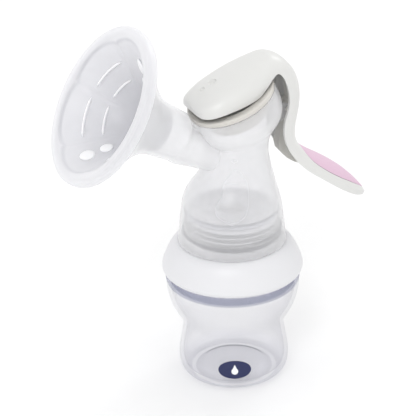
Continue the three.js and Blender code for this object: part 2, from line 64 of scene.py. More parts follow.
# ---------------------------------------------------------------- places
GAP = 0.3
WALL = 1.7
HEAD_TILT = math.radians(21.5)
HEAD_CENTRE = (0.5, 150.0)
FUNNEL_RISE = math.radians(31.8)
FUNNEL_CENTRE = (-67.4, 159.3)
PIVOT = (29.4, 140.4)
LINK_HEIGHT = 5.0
BOTTLE_NECK_R = 27.0
BOTTLE_BORE_R = 24.6
BOTTLE_PITCH = 3.5    # bottle thread, mm per turn
COLLAR_BORE_R = 28.5
SPOUT_R = 22.8
SPOUT_BORE_R = 20.2
SKIRT_BORE_R = 24.4
PUMP_PITCH = 2.8      # thread between collar and pump, mm per turn
FLOOR_Z = 90.4        # underside of the milk-chamber floor
FLOOR_T = 1.8
BADGE_WALL_R = 28.0   # bottle wall that the badge lies on
BADGE_HALF = (8.4, 4.8)
BADGE_ANGLE = math.radians(-114)
BADGE_Z = 12.6
HANDLE_WALL = 1.8
BOWL_LIP_R = 21.3
HEAD_R = 22.6


class Place:
    """An origin in the XZ plane with the directions across (u) and along (w)."""

    def __init__(self, x, z, across, along):
        self.origin = Vector((x, 0, z))
        self.u = Vector((across[0], 0, across[1]))
        self.w = Vector((along[0], 0, along[1]))

    def at(self, u, y, w):
        return self.origin + self.u * u + Vector((0, y, 0)) + self.w * w

    def matrix(self):
        """Turns coordinates (u, y, w) in metres into the CAD's frame."""
        m = Matrix.Identity(4)
        side = self.w.cross(self.u)
        for row in range(3):
            m[row][0] = self.u[row]
            m[row][1] = side[row]
            m[row][2] = self.w[row]
            m[row][3] = self.origin[row] * MM
        return m


UPRIGHT = Place(0, 0, (1, 0), (0, 1))
HEAD = Place(*HEAD_CENTRE, (math.cos(HEAD_TILT), math.sin(HEAD_TILT)),
             (-math.sin(HEAD_TILT), math.cos(HEAD_TILT)))
FUNNEL = Place(*FUNNEL_CENTRE, (-math.sin(FUNNEL_RISE), -math.cos(FUNNEL_RISE)),
               (math.cos(FUNNEL_RISE), -math.sin(FUNNEL_RISE)))


# ---------------------------------------------------------------- meshes
def mesh_object(name, points, faces, smooth_deg=32):
    mesh = bpy.data.meshes.new(name)
    mesh.from_pydata([tuple(p * MM) for p in points], [], faces)
    mesh.validate()
    mesh.shade_smooth()
    mesh.set_sharp_from_angle(angle=math.radians(smooth_deg))
    obj = bpy.data.objects.new(name, mesh)
    bpy.context.scene.collection.objects.link(obj)
    return obj


def face_out(points, faces):
    volume = 0.0
    for face in faces:
        a = points[face[0]]
        for i in range(1, len(face) - 1):
            volume += a.dot(points[face[i]].cross(points[face[i + 1]]))
    return faces if volume > 0 else [tuple(reversed(f)) for f in faces]


def skin(name, rings, closed=False, smooth_deg=32):
    """Skins rings of equal length; open rows of rings are capped."""
    count = len(rings[0])
    points = [p for ring in rings for p in ring]
    faces = []
    last = len(rings) if closed else len(rings) - 1
    for i in range(last):
        a = i * count
        b = (i + 1) % len(rings) * count
        for j in range(count):
            k = (j + 1) % count
            faces.append((a + j, a + k, b + k, b + j))
    if not closed:
        for start, flip in ((0, True), ((len(rings) - 1) * count, False)):
            hub = len(points)
            points.append(sum((points[start + j] for j in range(count)), Vector()) / count)
            for j in range(count):
                k = (j + 1) % count
                faces.append((hub, start + k, start + j) if flip else (hub, start + j, start + k))
    return mesh_object(name, points, face_out(points, faces), smooth_deg)


def refined(points, closed=False, steps=4, corner_deg=30.0, corner_mm=0.35):
    """Rounds a profile: gentle turns are splined, sharp ones get a small radius."""
    n = len(points)
    p = [Vector(q) for q in points]
    spans = n if closed else n - 1

    def side(i, j):
        d = p[j % n] - p[i % n]
        return d.normalized() if d.length > 1e-9 else Vector((1, 0))

    sharp = []
    for i in range(n):
        if not closed and i in (0, n - 1):
            sharp.append(True)
            continue
        turn = side(i - 1, i).angle(side(i, i + 1))
        sharp.append(math.degrees(turn) > corner_deg)
    out = []
    for i in range(spans):
        a, b = p[i], p[(i + 1) % n]
        length = (b - a).length
        direct = (b - a).normalized()
        start = direct if sharp[i] else (side(i - 1, i) + side(i, i + 1)).normalized()
        end = direct if sharp[(i + 1) % n] else (side(i, i + 1) + side(i + 1, i + 2)).normalized()
        cut = min(corner_mm, 0.3 * length) / max(length, 1e-9)
        if not closed and i == 0:
            out.append(a.copy())
        t0 = cut if sharp[i] and (closed or i > 0) else 0.0
        t1 = 1 - cut if sharp[(i + 1) % n] and (closed or i < spans - 1) else 1.0
        for k in range(steps + 1):
            if k == steps and not sharp[(i + 1) % n]:
                continue
            if k == 0 and not closed and i == 0:
                continue
            t = t0 + (t1 - t0) * k / steps
            h1 = 2 * t ** 3 - 3 * t ** 2 + 1
            h2 = t ** 3 - 2 * t ** 2 + t
            h3 = -2 * t ** 3 + 3 * t ** 2
            h4 = t ** 3 - t ** 2
            out.append(a * h1 + start * (h2 * length) + b * h3 + end * (h4 * length))
    if not closed:
        out[-1] = p[-1].copy()
    return out


def circle(place, r, w, sides=FINE):
    return [place.at(r * math.cos(2 * math.pi * i / sides), r * math.sin(2 * math.pi * i / sides), w)
            for i in range(sides)]


def turned(name, profile, place=UPRIGHT, closed=False, steps=4, sides=FINE, smooth_deg=32,
           corner_mm=0.35):
    fine = refined(profile, closed, steps, corner_mm=corner_mm)
    return skin(name, [circle(place, q.x, q.y, sides) for q in fine], closed, smooth_deg)


def plate(name, place, outline, y0, y1, bevel=0.3):
    """A flat block from its outline, with its long edges bevelled."""
    n = len(outline)
    points = [place.at(u, y, w) for y in (y0, y1) for u, w in outline]
    faces = [tuple(range(n)), tuple(range(2 * n - 1, n - 1, -1))]
    faces += [(j, (j + 1) % n, n + (j + 1) % n, n + j) for j in range(n)]
    obj = mesh_object(name, points, faces)
    bpy.context.view_layer.update()
    fix_normals(obj)
    if bevel:
        m = obj.modifiers.new("bevel", "BEVEL")
        m.width = bevel * MM
        m.segments = 3
        m.limit_method = "ANGLE"
        m.angle_limit = math.radians(40)
        bake(obj)
    return obj


def fix_normals(obj):
    work = bmesh.new()
    work.from_mesh(obj.data)
    bmesh.ops.recalc_face_normals(work, faces=work.faces)
    if work.calc_volume(signed=True) < 0:
        bmesh.ops.reverse_faces(work, faces=work.faces)
    work.to_mesh(obj.data)
    work.free()


def disc(u, w, r, sides=48):
    return [(u + r * math.cos(2 * math.pi * i / sides), w + r * math.sin(2 * math.pi * i / sides))
            for i in range(sides)]


def slot_outline(u0, u1, w, r, sides=20):
    right = [(u1 + r * math.cos(a), w + r * math.sin(a))
             for a in (-math.pi / 2 + math.pi * i / sides for i in range(sides + 1))]
    left = [(u0 + r * math.cos(a), w + r * math.sin(a))
            for a in (math.pi / 2 + math.pi * i / sides for i in range(sides + 1))]
    return right + left


def bake(obj, smooth_deg=32):
    """Makes the modifiers' result the object's plain mesh."""
    graph = bpy.context.evaluated_depsgraph_get()
    graph.update()
    mesh = bpy.data.meshes.new_from_object(obj.evaluated_get(graph))
    obj.modifiers.clear()
    old = obj.data
    obj.data = mesh
    mesh.name = obj.name
    if old.users == 0:
        bpy.data.meshes.remove(old)
    mesh.shade_smooth()
    mesh.set_sharp_from_angle(angle=math.radians(smooth_deg))
    return obj


def combine(obj, operation, tools, smooth_deg=32):
    """Joins tools to obj, or cuts them from it, and removes them."""
    for tool in tools:
        m = obj.modifiers.new("combine", "BOOLEAN")
        m.operation = operation
        m.solver = "MANIFOLD"
        m.object = tool
    bake(obj, smooth_deg)
    for tool in tools:
        bpy.data.objects.remove(tool, do_unlink=True)
    return obj


def add(obj, *tools):
    return combine(obj, "UNION", tools)


def cut(obj, *tools):
    return combine(obj, "DIFFERENCE", tools)


# ---------------------------------------------------------------- materials
def new_material(name):
    material = bpy.data.materials.new(name)
    material.use_nodes = True
    nodes = material.node_tree.nodes
    nodes.clear()
    out = nodes.new("ShaderNodeOutputMaterial")
    return material, material.node_tree, nodes, out


def noise(tree, scale, detail=4.0, roughness=0.55):
    coords = tree.nodes.new("ShaderNodeTexCoord")
    texture = tree.nodes.new("ShaderNodeTexNoise")
    texture.inputs["Scale"].default_value = scale
    texture.inputs["Detail"].default_value = detail
    texture.inputs["Roughness"].default_value = roughness
    tree.links.new(coords.outputs["Object"], texture.inputs["Vector"])
    return texture


def spread(tree, source, low, high):
    """Maps a 0..1 socket to the range low..high."""
    node = tree.nodes.new("ShaderNodeMapRange")
    node.inputs["To Min"].default_value = low
    node.inputs["To Max"].default_value = high
    tree.links.new(source, node.inputs["Value"])
    return node.outputs["Result"]


def bump(tree, height, strength, distance):
    node = tree.nodes.new("ShaderNodeBump")
    node.inputs["Strength"].default_value = strength
    node.inputs["Distance"].default_value = distance
    tree.links.new(height, node.inputs["Height"])
    return node.outputs["Normal"]


def coat_shader(tree, color, roughness, grain, bump_mm, rough_spread=0.08, subsurface=0.0):
    """Principled plastic whose roughness, tone and surface vary with a fine moulded grain."""
    shader = tree.nodes.new("ShaderNodeBsdfPrincipled")
    texture = noise(tree, grain)
    broad = noise(tree, 35.0, 3.0)
    mix = tree.nodes.new("ShaderNodeMix")
    mix.data_type = "RGBA"
    mix.inputs["A"].default_value = (*[c * 0.965 for c in color], 1)
    mix.inputs["B"].default_value = (*color, 1)
    tree.links.new(broad.outputs["Fac"], mix.inputs["Factor"])
    tree.links.new(mix.outputs["Result"], shader.inputs["Base Color"])
    tree.links.new(spread(tree, texture.outputs["Fac"], roughness - rough_spread / 2,
                          roughness + rough_spread / 2), shader.inputs["Roughness"])
    tree.links.new(bump(tree, texture.outputs["Fac"], 0.25, bump_mm * MM),
                   shader.inputs["Normal"])
    if subsurface:
        shader.inputs["Subsurface Weight"].default_value = subsurface
        shader.inputs["Subsurface Radius"].default_value = (0.004, 0.004, 0.0045)
        shader.inputs["Subsurface Scale"].default_value = 1.0
    return shader, mix


def opaque(name, color, roughness, grain=900.0, bump_mm=0.03, subsurface=0.0):
    material, tree, _, out = new_material(name)
    shader, _ = coat_shader(tree, color, roughness, grain, bump_mm, subsurface=subsurface)
    tree.links.new(shader.outputs["BSDF"], out.inputs["Surface"])
    return material


def see_through(name, tint, color, face_on, edge_on, roughness=0.12, power=0.35, grain=500.0):
    """Clear or milky plastic: light passes straight through face on, less so at the edges."""
    material, tree, nodes, out = new_material(name)
    shader, _ = coat_shader(tree, color, roughness, grain, 0.02, 0.05)
    clear = nodes.new("ShaderNodeBsdfTransparent")
    clear.inputs["Color"].default_value = (*tint, 1)
    edge = nodes.new("ShaderNodeLayerWeight")
    edge.inputs["Blend"].default_value = power
    amount = spread(tree, edge.outputs["Facing"], face_on, edge_on)
    both = nodes.new("ShaderNodeMixShader")
    tree.links.new(amount, both.inputs["Fac"])
    tree.links.new(clear.outputs["BSDF"], both.inputs[1])
    tree.links.new(shader.outputs["BSDF"], both.inputs[2])
    tree.links.new(both.outputs["Shader"], out.inputs["Surface"])
    return material, tree, shader, clear


def z_band(tree, z0, z1, soft):
    """1 between heights z0 and z1 (mm), 0 outside."""
    coords = tree.nodes.new("ShaderNodeTexCoord")
    split = tree.nodes.new("ShaderNodeSeparateXYZ")
    tree.links.new(coords.outputs["Object"], split.inputs["Vector"])
    parts = []
    for z, rising in ((z0, True), (z1, False)):
        node = tree.nodes.new("ShaderNodeMapRange")
        node.interpolation_type = "SMOOTHSTEP"
        node.inputs["From Min"].default_value = (z - soft) * MM
        node.inputs["From Max"].default_value = (z + soft) * MM
        node.inputs["To Min"].default_value = 0.0 if rising else 1.0
        node.inputs["To Max"].default_value = 1.0 if rising else 0.0
        tree.links.new(split.outputs["Z"], node.inputs["Value"])
        parts.append(node.outputs["Result"])
    product = tree.nodes.new("ShaderNodeMath")
    product.operation = "MULTIPLY"
    tree.links.new(parts[0], product.inputs[0])
    tree.links.new(parts[1], product.inputs[1])
    return product.outputs["Value"]


def tint_band(tree, target, factor, color):
    """Mixes color over what feeds target, by factor."""
    mix = tree.nodes.new("ShaderNodeMix")
    mix.data_type = "RGBA"
    mix.inputs["B"].default_value = (*color, 1)
    if target.is_linked:
        tree.links.new(target.links[0].from_socket, mix.inputs["A"])
    else:
        mix.inputs["A"].default_value = target.default_value
    tree.links.new(factor, mix.inputs["Factor"])
    tree.links.new(mix.outputs["Result"], target)


def bottle_material():
    material, tree, shader, clear = see_through(
        "clear_bottle", (0.995, 0.995, 0.998), (0.86, 0.86, 0.91), 0.02, 0.34, 0.08, 0.28)
    # painted shade: a darker band round the thick ring between 51.6 and 56.4 mm stands in for light
    # bent through that ring, in both the clear tint and the base colour
    painted_shade_band = z_band(tree, 51.6, 56.4, 0.5)
    tint_band(tree, clear.inputs["Color"], painted_shade_band, (0.68, 0.69, 0.76))
    tint_band(tree, shader.inputs["Base Color"], painted_shade_band, (0.16, 0.17, 0.26))
    # painted shade: the base colour darkens towards grazing view angles, standing in for the darker
    # edges that clear plastic shows
    rim = tree.nodes.new("ShaderNodeLayerWeight")
    rim.inputs["Blend"].default_value = 0.22
    tint_band(tree, shader.inputs["Base Color"], rim.outputs["Facing"], (0.16, 0.16, 0.22))
    foot = z_band(tree, -2.0, 5.0, 2.0)
    tint_band(tree, clear.inputs["Color"], foot, (0.98, 0.98, 0.992))
    return material


def badge_material():
    """Navy film with a plain white drop."""
    material, tree, nodes, out = new_material("badge_film")
    shader, _ = coat_shader(tree, (0.012, 0.018, 0.085), 0.4, 1200.0, 0.01)
    coords = nodes.new("ShaderNodeTexCoord")
    split = nodes.new("ShaderNodeSeparateXYZ")
    tree.links.new(coords.outputs["Object"], split.inputs["Vector"])

    def math_node(operation, a, b=0.0, clamp=False):
        node = nodes.new("ShaderNodeMath")
        node.operation = operation
        node.use_clamp = clamp
        for socket, value in zip(node.inputs, (a, b)):
            if isinstance(value, (int, float)):
                socket.default_value = value
            else:
                tree.links.new(value, socket)
        return node.outputs["Value"]

    turn = math_node("ARCTAN2", split.outputs["Y"], split.outputs["X"])
    across = math_node("MULTIPLY", math_node("SUBTRACT", turn, BADGE_ANGLE), BADGE_WALL_R)
    height = math_node("SUBTRACT", math_node("MULTIPLY", split.outputs["Z"], 1000.0), BADGE_Z - 0.7)
    low = math_node("SQRT", math_node("ADD", math_node("MULTIPLY", across, across),
                                      math_node("MULTIPLY", height, height)))
    in_round = math_node("LESS_THAN", low, 1.7)
    taper = math_node("MULTIPLY", math_node("SUBTRACT", 1.0, math_node("DIVIDE", height, 3.6)), 1.7)
    in_point = math_node("MULTIPLY", math_node("LESS_THAN", math_node("ABSOLUTE", across), taper),
                         math_node("GREATER_THAN", height, 0.0))
    drop = math_node("MAXIMUM", in_round, in_point, True)
    tint_band(tree, shader.inputs["Base Color"], drop, (0.86, 0.86, 0.88))
    tree.links.new(shader.outputs["BSDF"], out.inputs["Surface"])
    return material


def cushion_material():
    """Translucent silicone: a pale rim and a greyer lobed cup, told apart by a vertex attribute that
    also darkens the cup further in as painted shade; a second attribute paints shade along the cup's
    sunken edge.
    """
    material, tree, shader, _ = see_through(
        "cushion_silicone", (0.96, 0.96, 0.97), (0.90, 0.90, 0.92), 0.50, 0.85, 0.35, 0.45)
    # the grey cup is partly the silicone's own greyer colour and partly painted shade that grows
    # deeper into the funnel
    cup_tone_and_shade = tree.nodes.new("ShaderNodeAttribute")
    cup_tone_and_shade.attribute_name = "cup_tone_and_shade"
    tint_band(tree, shader.inputs["Base Color"], cup_tone_and_shade.outputs["Fac"], (0.66, 0.66, 0.69))
    # painted shade: a thin darker line along the sunken edge of the cup, where the surface steps
    # down
    line = tree.nodes.new("ShaderNodeAttribute")
    line.attribute_name = "line"
    tint_band(tree, shader.inputs["Base Color"], line.outputs["Fac"], (0.40, 0.40, 0.45))
    return material


LOOKS = {
    "bottle": bottle_material(),
    "badge": badge_material(),
    "milky": see_through("milky_pump", (0.985, 0.985, 0.99), (0.92, 0.92, 0.93), 0.26, 0.66,
                         0.22, 0.40)[0],
    # painted shade: the skirt's inner thread is the same milky plastic, coloured much darker so it
    # shows as shaded lines through the skirt
    "skirt_thread_shade": see_through("skirt_thread_painted_shade", (0.70, 0.70, 0.72), (0.30, 0.30, 0.33), 0.60, 0.92)[0],
    "collar": opaque("satin_collar", (0.73, 0.73, 0.75), 0.38),
    # painted shade: the spout thread is the collar's own white plastic, coloured near black so it
    # shows as shaded lines through the milky skirt
    "spout_thread_shade": opaque("spout_thread_shade", (0.20, 0.20, 0.22), 0.4),
    "handle": opaque("satin_handle", (0.69, 0.69, 0.675), 0.34, subsurface=0.05),
    # painted shade: the inner frame is coloured a warm darker grey, standing in for the shade inside
    # the handle's channel
    "frame": opaque("frame_channel_shade", (0.50, 0.49, 0.46), 0.5),
    "stem": opaque("white_stem", (0.78, 0.78, 0.77), 0.4),
    "pin": opaque("pin_plastic", (0.55, 0.54, 0.50), 0.35),
    "grip": opaque("pink_rubber", (0.70, 0.50, 0.62), 0.55, 1500.0, 0.06),
    "cushion": cushion_material(),
    "rib": opaque("cushion_rib", (0.90, 0.90, 0.92), 0.35, subsurface=0.2),
    "valve": opaque("valve_silicone", (0.70, 0.71, 0.75), 0.35, subsurface=0.3),
    "seal": opaque("seal_silicone", (0.60, 0.61, 0.66), 0.4),
    "diaphragm": opaque("diaphragm_silicone", (0.62, 0.60, 0.56), 0.42, subsurface=0.2),
}


def dress(obj, look):
    obj.data.materials.clear()
    obj.data.materials.append(LOOKS[look])
    return obj


def finish_piece(obj, look, body, *nodes):
    dress(obj, look)
    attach(obj, body)
    if nodes:
        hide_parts(*nodes)
    return obj


# ---------------------------------------------------------------- node-built details
class Tree:
    """A geometry node tree with named inputs, run once and kept as a plain mesh."""

    def __init__(self, name, inputs):
        self.tree = bpy.data.node_groups.new(name, "GeometryNodeTree")
        face = self.tree.interface
        face.new_socket("Geometry", in_out="INPUT", socket_type="NodeSocketGeometry")
        self.ids = {}
        for label, (kind, value) in inputs.items():
            item = face.new_socket(label, in_out="INPUT", socket_type=kind)
            if kind != "NodeSocketMaterial":
                item.default_value = value
            self.ids[label] = item.identifier
        face.new_socket("Geometry", in_out="OUTPUT", socket_type="NodeSocketGeometry")
        self.source = self.node("NodeGroupInput")
        self.sink = self.node("NodeGroupOutput")

    def node(self, kind, **settings):
        made = self.tree.nodes.new(kind)
        for key, value in settings.items():
            setattr(made, key, value)
        return made

    def link(self, a, b):
        self.tree.links.new(a, b)

    def math(self, operation, a, b):
        made = self.node("ShaderNodeMath", operation=operation)
        for socket, value in zip(made.inputs, (a, b)):
            if isinstance(value, (int, float)):
                socket.default_value = value
            else:
                self.link(value, socket)
        return made.outputs["Value"]

    def finish(self, geometry):
        real = self.node("GeometryNodeRealizeInstances")
        paint = self.node("GeometryNodeSetMaterial")
        self.link(geometry, real.inputs["Geometry"])
        self.link(real.outputs["Geometry"], paint.inputs["Geometry"])
        self.link(self.source.outputs["Material"], paint.inputs["Material"])
        self.link(paint.outputs["Geometry"], self.sink.inputs["Geometry"])

    def run(self, name, values, place=UPRIGHT, smooth_deg=45):
        mesh = bpy.data.meshes.new(name)
        obj = bpy.data.objects.new(name, mesh)
        bpy.context.scene.collection.objects.link(obj)
        modifier = obj.modifiers.new("build", "NODES")
        modifier.node_group = self.tree
        for label, value in values.items():
            modifier[self.ids[label]] = value
        bpy.context.view_layer.update()
        bake(obj, smooth_deg)
        obj.data.transform(place.matrix())
        fix_normals(obj)
        return obj


def sweep(tree, curve, radius, profile_sides=12):
    """Sweeps a round section along curve, with its radius given by a socket."""
    section = tree.node("GeometryNodeCurvePrimitiveCircle", mode="RADIUS")
    section.inputs["Resolution"].default_value = profile_sides
    section.inputs["Radius"].default_value = 1.0
    solid = tree.node("GeometryNodeCurveToMesh")
    solid.inputs["Fill Caps"].default_value = True
    if "Scale" in solid.inputs:
        tree.link(curve, solid.inputs["Curve"])
        tree.link(radius, solid.inputs["Scale"])
    else:
        width = tree.node("GeometryNodeSetCurveRadius")
        tree.link(curve, width.inputs["Curve"])
        tree.link(radius, width.inputs["Radius"])
        tree.link(width.outputs["Curve"], solid.inputs["Curve"])
    tree.link(section.outputs["Curve"], solid.inputs["Profile Curve"])
    return solid.outputs["Mesh"]


def end_taper(tree, run_out):
    """1 along the middle of a curve, falling to 0.15 over run_out of its length at each end."""
    along = tree.node("GeometryNodeSplineParameter").outputs["Factor"]
    from_end = tree.math("MINIMUM", along, tree.math("SUBTRACT", 1.0, along))
    rising = tree.math("DIVIDE", from_end, run_out)
    return tree.math("MINIMUM", 1.0, tree.math("ADD", 0.15, rising))


def thread_tree():
    tree = Tree("thread_ridge", {
        "Root Radius": ("NodeSocketFloat", 0.027), "Pitch": ("NodeSocketFloat", 0.0035),
        "Turns": ("NodeSocketFloat", 1.5), "Start Height": ("NodeSocketFloat", 0.06),
        "Bead Radius": ("NodeSocketFloat", 0.0009), "Material": ("NodeSocketMaterial", None),
    })
    ask = tree.source.outputs
    spiral = tree.node("GeometryNodeCurveSpiral")
    spiral.inputs["Resolution"].default_value = 96
    tree.link(ask["Turns"], spiral.inputs["Rotations"])
    tree.link(ask["Root Radius"], spiral.inputs["Start Radius"])
    tree.link(ask["Root Radius"], spiral.inputs["End Radius"])
    tree.link(tree.math("MULTIPLY", ask["Pitch"], ask["Turns"]), spiral.inputs["Height"])
    lift = tree.node("GeometryNodeTransform")
    offset = tree.node("ShaderNodeCombineXYZ")
    tree.link(ask["Start Height"], offset.inputs["Z"])
    tree.link(spiral.outputs["Curve"], lift.inputs["Geometry"])
    tree.link(offset.outputs["Vector"], lift.inputs["Translation"])
    size = tree.math("MULTIPLY", ask["Bead Radius"], end_taper(tree, 0.08))
    tree.finish(sweep(tree, lift.outputs["Geometry"], size))
    return tree


def arc_tree():
    """Raised arcs round an axis: Count arcs, one each Step radians, from First."""
    tree = Tree("arc_ribs", {
        "Radius": ("NodeSocketFloat", 0.026), "Height": ("NodeSocketFloat", 0.006),
        "Sweep": ("NodeSocketFloat", 0.8), "First": ("NodeSocketFloat", 0.0),
        "Step": ("NodeSocketFloat", 1.05), "Count": ("NodeSocketInt", 2),
        "Bead Radius": ("NodeSocketFloat", 0.0005), "Material": ("NodeSocketMaterial", None),
    })
    ask = tree.source.outputs
    arc = tree.node("GeometryNodeCurveArc", mode="RADIUS")
    arc.inputs["Resolution"].default_value = 40
    tree.link(ask["Radius"], arc.inputs["Radius"])
    tree.link(ask["Sweep"], arc.inputs["Sweep Angle"])
    tree.link(tree.math("MULTIPLY", ask["Sweep"], -0.5), arc.inputs["Start Angle"])
    size = tree.math("MULTIPLY", ask["Bead Radius"], end_taper(tree, 0.12))
    rib = sweep(tree, arc.outputs["Curve"], size)
    points = tree.node("GeometryNodePoints")
    tree.link(ask["Count"], points.inputs["Count"])
    offset = tree.node("ShaderNodeCombineXYZ")
    tree.link(ask["Height"], offset.inputs["Z"])
    tree.link(offset.outputs["Vector"], points.inputs["Position"])
    index = tree.node("GeometryNodeInputIndex").outputs["Index"]
    angle = tree.math("ADD", ask["First"], tree.math("MULTIPLY", index, ask["Step"]))
    turn = tree.node("ShaderNodeCombineXYZ")
    tree.link(angle, turn.inputs["Z"])
    place = tree.node("GeometryNodeInstanceOnPoints")
    tree.link(points.outputs[0], place.inputs["Points"])
    tree.link(rib, place.inputs["Instance"])
    tree.link(turn.outputs["Vector"], place.inputs["Rotation"])
    tree.finish(place.outputs["Instances"])
    return tree


def bump_tree():
    """Low round bumps on a cone: one at each of Count turns, flattened along the axis."""
    tree = Tree("round_bumps", {
        "Radius": ("NodeSocketFloat", 0.026), "Height": ("NodeSocketFloat", 0.006),
        "First": ("NodeSocketFloat", 0.0), "Step": ("NodeSocketFloat", 1.05),
        "Count": ("NodeSocketInt", 2), "Bump Radius": ("NodeSocketFloat", 0.003),
        "Rise": ("NodeSocketFloat", 0.0009), "Lean": ("NodeSocketFloat", 0.7),
        "Material": ("NodeSocketMaterial", None),
    })
    ask = tree.source.outputs
    ball = tree.node("GeometryNodeMeshUVSphere")
    ball.inputs["Segments"].default_value = 32
    ball.inputs["Rings"].default_value = 16
    ball.inputs["Radius"].default_value = 1.0
    flat = tree.node("GeometryNodeTransform")
    scale = tree.node("ShaderNodeCombineXYZ")
    tree.link(ask["Bump Radius"], scale.inputs["X"])
    tree.link(ask["Bump Radius"], scale.inputs["Y"])
    tree.link(ask["Rise"], scale.inputs["Z"])
    lean = tree.node("ShaderNodeCombineXYZ")
    tree.link(ask["Lean"], lean.inputs["Y"])
    out = tree.node("ShaderNodeCombineXYZ")
    tree.link(ask["Radius"], out.inputs["X"])
    tree.link(ask["Height"], out.inputs["Z"])
    tree.link(ball.outputs["Mesh"], flat.inputs["Geometry"])
    tree.link(scale.outputs["Vector"], flat.inputs["Scale"])
    tree.link(lean.outputs["Vector"], flat.inputs["Rotation"])
    tree.link(out.outputs["Vector"], flat.inputs["Translation"])
    points = tree.node("GeometryNodePoints")
    tree.link(ask["Count"], points.inputs["Count"])
    index = tree.node("GeometryNodeInputIndex").outputs["Index"]
    turn = tree.node("ShaderNodeCombineXYZ")
    tree.link(tree.math("ADD", ask["First"], tree.math("MULTIPLY", index, ask["Step"])),
              turn.inputs["Z"])
    place = tree.node("GeometryNodeInstanceOnPoints")
    tree.link(points.outputs[0], place.inputs["Points"])
    tree.link(flat.outputs["Geometry"], place.inputs["Instance"])
    tree.link(turn.outputs["Vector"], place.inputs["Rotation"])
    tree.finish(place.outputs["Instances"])
    return tree


THREAD = thread_tree()
ARCS = arc_tree()
BUMPS = bump_tree()


def thread(name, look, body, root, pitch, turns, z0, bead):
    obj = THREAD.run(name, {
        "Root Radius": root * MM, "Pitch": pitch * MM, "Turns": turns, "Start Height": z0 * MM,
        "Bead Radius": bead * MM, "Material": LOOKS[look],
    })
    return finish_piece(obj, look, body)


# ---------------------------------------------------------------- bottle
bottle = turned("bottle_shell", [
    (0.4, 3.5), (9.0, 3.6), (16.2, 2.4), (17.6, 0.4), (18.4, 0.0), (23.2, 0.0), (25.6, 1.0),
    (27.2, 3.4), (28.0, 8.6), (27.6, 13.0), (26.4, 20.5), (25.7, 25.6), (26.0, 29.2),
    (28.4, 33.8), (31.4, 39.5), (33.0, 45.0), (33.6, 50.6), (33.3, 51.4), (33.9, 53.0),
    (33.9, 55.6), (32.6, 56.9), (29.4, 57.0), (27.0, 58.0), (27.0, 68.4), (26.4, 69.0),
    (24.6, 69.0), (24.6, 57.6), (28.0, 55.4), (31.0, 54.0), (31.7, 50.6), (31.2, 45.4),
    (29.6, 40.0), (26.6, 34.4), (24.2, 29.6), (23.8, 25.6), (24.5, 20.5), (25.7, 13.0),
    (26.1, 8.8), (25.2, 4.6), (22.8, 2.8), (19.4, 3.2), (16.6, 4.8), (9.0, 5.6), (0.4, 5.7),
])
finish_piece(bottle, "bottle", "bottle", "bottle")
thread("bottle_neck_thread", "bottle", "bottle", BOTTLE_NECK_R, BOTTLE_PITCH, 1.5, 60.2, 0.9)


def badge_ring(lift, scale, sides=96):
    ring = []
    for i in range(sides):
        a = 2 * math.pi * i / sides
        across = scale * BADGE_HALF[0] * math.cos(a)
        z = BADGE_Z + scale * BADGE_HALF[1] * math.sin(a)
        wall = BADGE_WALL_R - 0.16 * max(0.0, z - 9.5) - 0.05 * max(0.0, 9.5 - z)
        angle = BADGE_ANGLE + across / BADGE_WALL_R
        ring.append(Vector(((wall + lift) * math.cos(angle), (wall + lift) * math.sin(angle), z)))
    return ring


badge_sizes = [0.2, 0.4, 0.6, 0.8, 0.95, 1.0]
badge = skin("badge_film", [badge_ring(0.3, s) for s in badge_sizes]
             + [badge_ring(0.5 if s > 0.97 else 0.55, s) for s in reversed(badge_sizes)])
finish_piece(badge, "badge", "bottle", "bottle_badge")

seal = turned("neck_seal", [(BOTTLE_BORE_R, 69.3), (BOTTLE_NECK_R + 0.9, 69.3),
                             (BOTTLE_NECK_R + 0.9, 70.5), (BOTTLE_BORE_R, 70.5)], closed=True,
              steps=2)
finish_piece(seal, "seal", "bottle_seal", "bottle_seal")

# ---------------------------------------------------------------- screw collar
collar = turned("collar_shell", [
    (33.2, 57.3), (34.6, 57.5), (35.4, 58.3), (35.6, 59.6), (35.1, 61.8), (34.1, 64.4),
    (33.0, 67.0), (31.5, 69.7), (29.8, 71.8), (28.2, 73.0), (26.6, 73.5), (23.2, 73.5),
    (22.8, 74.1), (22.8, 87.8), (22.2, 88.4), (20.5, 88.4), (20.2, 87.9), (20.2, 71.2),
    (20.6, 70.8), (28.5, 70.8), (28.5, 60.8), (31.4, 58.4), (32.2, 57.4),
], closed=True)
finish_piece(collar, "collar", "collar", "screw_collar")
thread("collar_inner_thread", "collar", "collar", COLLAR_BORE_R, BOTTLE_PITCH, 1.5, 61.95, 0.85)
# the spout thread's near-black look is painted shade seen through the skirt
thread("spout_thread", "spout_thread_shade", "collar", SPOUT_R, PUMP_PITCH, 3.75, 76.2, 0.9)

gasket = turned("spout_gasket", [(SPOUT_BORE_R, 88.7), (SPOUT_R, 88.7), (SPOUT_R, 90.1),
                                 (SPOUT_BORE_R, 90.1)],
                closed=True, steps=2)
finish_piece(gasket, "seal", "collar_gasket", "collar_gasket")

# ---------------------------------------------------------------- pump body
body_stations = [
    (0, 73.9, 0, 27.2), (0, 84.0, 0, 26.2), (0, 93.2, 0, 25.1), (0, 97.0, 0, 24.3),
    (0.3, 100.4, 0, 23.1), (1.0, 103.8, 0, 21.5), (2.1, 107.6, 0, 19.5), (2.8, 112.6, 0, 17.7),
    (2.8, 117.0, 0, 16.8), (2.7, 121.5, 1, 16.3), (3.3, 126.0, 6, 16.2), (4.6, 130.0, 13, 17.3),
]
bowl_stations = [(-17.5, 19.6), (-14.4, 21.5), (-11.0, 22.6), (-7.5, 22.8), (-4.0, 22.6),
                 (-1.4, 22.3)]


